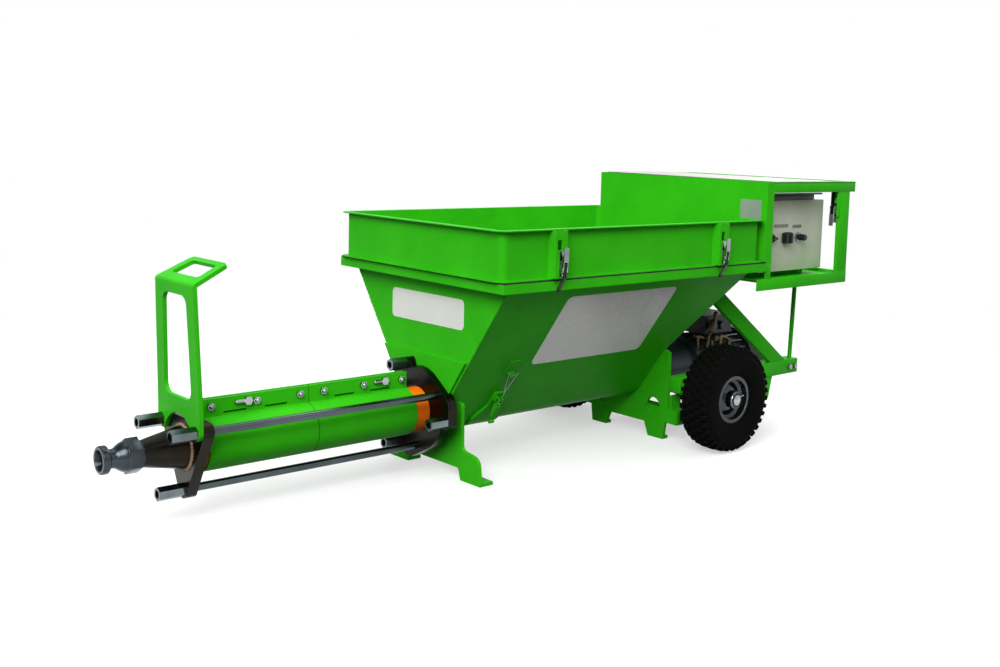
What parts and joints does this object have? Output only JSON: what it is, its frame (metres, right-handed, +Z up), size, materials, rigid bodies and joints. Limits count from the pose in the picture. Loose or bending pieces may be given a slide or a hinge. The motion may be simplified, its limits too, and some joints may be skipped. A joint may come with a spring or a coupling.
{
  "type": "grout pump",
  "caption": "Wheeled screw pump for grout: hopper with latched extension, clamped stator between tie rods, geared motor and switch cabinet in a sheet frame.",
  "frame": {"origin": "centre of the bounding box's base, on the ground", "axes": "+X along the machine from the discharge end to the control frame, +Y across it, +Z up"},
  "size_m": [1.921, 0.647, 0.66],
  "materials": {
    "green": "semi-gloss leaf green paint",
    "orange": "cast orange elastomer",
    "zinc": "bright zinc plate",
    "steel": "plain machined steel",
    "stainless": "brushed stainless sheet",
    "screw_steel": "hard chromed and polished",
    "cream": "smooth cream grey paint",
    "motor_blue": "dark blue grey paint on castings",
    "tyre": "black rubber with worn bloom",
    "rim": "silver paint",
    "black_plastic": "moulded black plastic",
    "gasket": "black seal strip",
    "bronze": "sintered bush"
  },
  "bodies": {
    "machine": {"axle": "steel", "cabinet": "cream", "cabinet_door": "cream", "chassis_side_left": "green", "chassis_side_right": "green", "clamp_bolts": "zinc", "clamp_shell_front": "green", "clamp_shell_rear": "green", "control_frame": "green", "cross_member": "green", "discharge_cone": "steel", "fan_cowl": "motor_blue", "frame_bolts": "zinc", "front_panel": "green", "front_support": "green", "gearbox": "motor_blue", "hatch_catch": "green", "hatch_cover": "green", "hopper": "green", "hopper_extension": "green", "hose_coupling": "steel", "latch_bases": "zinc", "lifting_handle": "green", "long_nuts": "zinc", "motor": "motor_blue", "rear_support": "green", "rim_gasket": "gasket", "seal_housing": "motor_blue", "stator": "orange", "stay_rods": "green", "suction_flange": "steel", "terminal_box": "motor_blue", "tie_rods": "zinc", "top_cover": "stainless", "trough_flange": "steel"},
    "wheel_left": {"tyre_left": "tyre", "rim_left": "rim", "hub_bearing_left": "bronze"},
    "wheel_right": {"tyre_right": "tyre", "rim_right": "rim", "hub_bearing_right": "bronze"},
    "drive_shaft": {"agitator_shaft": "steel"},
    "coupling": {"coupling_rod": "steel"},
    "rotor_screw": {"rotor": "screw_steel"},
    "fan": {"motor_fan": "black_plastic"},
    "lever_front_left": {"latch_lever_front_left": "zinc"},
    "strap_front_left": {"latch_strap_front_left": "zinc"},
    "lever_rear_left": {"latch_lever_rear_left": "zinc"},
    "strap_rear_left": {"latch_strap_rear_left": "zinc"},
    "lever_front_right": {"latch_lever_front_right": "zinc"},
    "strap_front_right": {"latch_strap_front_right": "zinc"},
    "lever_rear_right": {"latch_lever_rear_right": "zinc"},
    "strap_rear_right": {"latch_strap_rear_right": "zinc"},
    "lever_post": {"latch_lever_post": "zinc"},
    "strap_post": {"latch_strap_post": "zinc"},
    "hatch_handle": {"hatch_lever": "green"},
    "hatch_hook": {"hatch_bail": "zinc"},
    "selector_switch_knob": {"selector_switch": "black_plastic"},
    "main_switch_knob": {"main_switch": "black_plastic"},
    "speed_knob_knob": {"speed_knob": "black_plastic"}
  },
  "joints": [
    {"name": "wheel_left_turn", "type": "hinge", "parent": "machine", "child": "wheel_left", "pos_m": [0.4605, -0.281, 0.13], "axis": [0, 1, 0], "continuous": true},
    {"name": "wheel_right_turn", "type": "hinge", "parent": "machine", "child": "wheel_right", "pos_m": [0.4605, 0.281, 0.13], "axis": [0, 1, 0], "continuous": true},
    {"name": "drive_turn", "type": "hinge", "parent": "machine", "child": "drive_shaft", "pos_m": [0.4605, 0, 0.149], "axis": [1, 0, 0], "continuous": true},
    {"name": "coupling_orbit", "type": "hinge", "parent": "machine", "child": "coupling", "pos_m": [0.1305, 0, 0.149], "axis": [1, 0, 0], "continuous": true},
    {"name": "rotor_turn", "type": "hinge", "parent": "coupling", "child": "rotor_screw", "pos_m": [-0.2075, 0.008, 0.149], "axis": [1, 0, 0], "continuous": true},
    {"name": "fan_turn", "type": "hinge", "parent": "machine", "child": "fan", "pos_m": [0.8605, 0, 0.149], "axis": [1, 0, 0], "continuous": true},
    {"name": "lever_front_left_open", "type": "hinge", "parent": "machine", "child": "lever_front_left", "pos_m": [-0.1235, -0.3145, 0.48], "axis": [1, 0, 0], "range_deg": [0, 115]},
    {"name": "strap_front_left_swing", "type": "hinge", "parent": "lever_front_left", "child": "strap_front_left", "pos_m": [-0.1235, -0.318, 0.493], "axis": [1, 0, 0], "range_deg": [-115, 0]},
    {"name": "lever_rear_left_open", "type": "hinge", "parent": "machine", "child": "lever_rear_left", "pos_m": [0.3995, -0.3145, 0.48], "axis": [1, 0, 0], "range_deg": [0, 115]},
    {"name": "strap_rear_left_swing", "type": "hinge", "parent": "lever_rear_left", "child": "strap_rear_left", "pos_m": [0.3995, -0.318, 0.493], "axis": [1, 0, 0], "range_deg": [-115, 0]},
    {"name": "lever_front_right_open", "type": "hinge", "parent": "machine", "child": "lever_front_right", "pos_m": [-0.1235, 0.3145, 0.48], "axis": [-1, 0, 0], "range_deg": [0, 115]},
    {"name": "strap_front_right_swing", "type": "hinge", "parent": "lever_front_right", "child": "strap_front_right", "pos_m": [-0.1235, 0.318, 0.493], "axis": [-1, 0, 0], "range_deg": [-115, 0]},
    {"name": "lever_rear_right_open", "type": "hinge", "parent": "machine", "child": "lever_rear_right", "pos_m": [0.3995, 0.3145, 0.48], "axis": [-1, 0, 0], "range_deg": [0, 115]},
    {"name": "strap_rear_right_swing", "type": "hinge", "parent": "lever_rear_right", "child": "strap_rear_right", "pos_m": [0.3995, 0.318, 0.493], "axis": [-1, 0, 0], "range_deg": [-115, 0]},
    {"name": "lever_post_open", "type": "hinge", "parent": "machine", "child": "lever_post", "pos_m": [0.882, -0.2805, 0.589], "axis": [0, 1, 0], "range_deg": [0, 115]},
    {"name": "strap_post_swing", "type": "hinge", "parent": "lever_post", "child": "strap_post", "pos_m": [0.8785, -0.2805, 0.576], "axis": [0, 1, 0], "range_deg": [-115, 0]},
    {"name": "hatch_handle_open", "type": "hinge", "parent": "machine", "child": "hatch_handle", "pos_m": [-0.101, -0.09211, 0.1686], "axis": [-1, 0, 0], "range_deg": [0, 110]},
    {"name": "hatch_hook_swing", "type": "hinge", "parent": "hatch_handle", "child": "hatch_hook", "pos_m": [-0.101, -0.08793, 0.15434], "axis": [-1, 0, 0], "range_deg": [-110, 0]},
    {"name": "selector_switch_turn", "type": "hinge", "parent": "machine", "child": "selector_switch_knob", "pos_m": [0.6725, -0.24, 0.511], "axis": [0, 1, 0], "range_deg": [-45, 45]},
    {"name": "main_switch_turn", "type": "hinge", "parent": "machine", "child": "main_switch_knob", "pos_m": [0.7285, -0.24, 0.511], "axis": [0, 1, 0], "range_deg": [0, 90]},
    {"name": "speed_knob_turn", "type": "hinge", "parent": "machine", "child": "speed_knob_knob", "pos_m": [0.7845, -0.24, 0.511], "axis": [0, 1, 0], "range_deg": [-135, 135]}
  ],
  "couplings": [
    {"joint": "coupling_orbit", "follows": "drive_turn", "ratio": -1},
    {"joint": "rotor_turn", "follows": "drive_turn", "ratio": 2},
    {"joint": "fan_turn", "follows": "drive_turn", "ratio": 5.76},
    {"joint": "strap_front_left_swing", "follows": "lever_front_left_open", "ratio": -1},
    {"joint": "strap_rear_left_swing", "follows": "lever_rear_left_open", "ratio": -1},
    {"joint": "strap_front_right_swing", "follows": "lever_front_right_open", "ratio": -1},
    {"joint": "strap_rear_right_swing", "follows": "lever_rear_right_open", "ratio": -1},
    {"joint": "strap_post_swing", "follows": "lever_post_open", "ratio": -1},
    {"joint": "hatch_hook_swing", "follows": "hatch_handle_open", "ratio": -1}
  ]
}
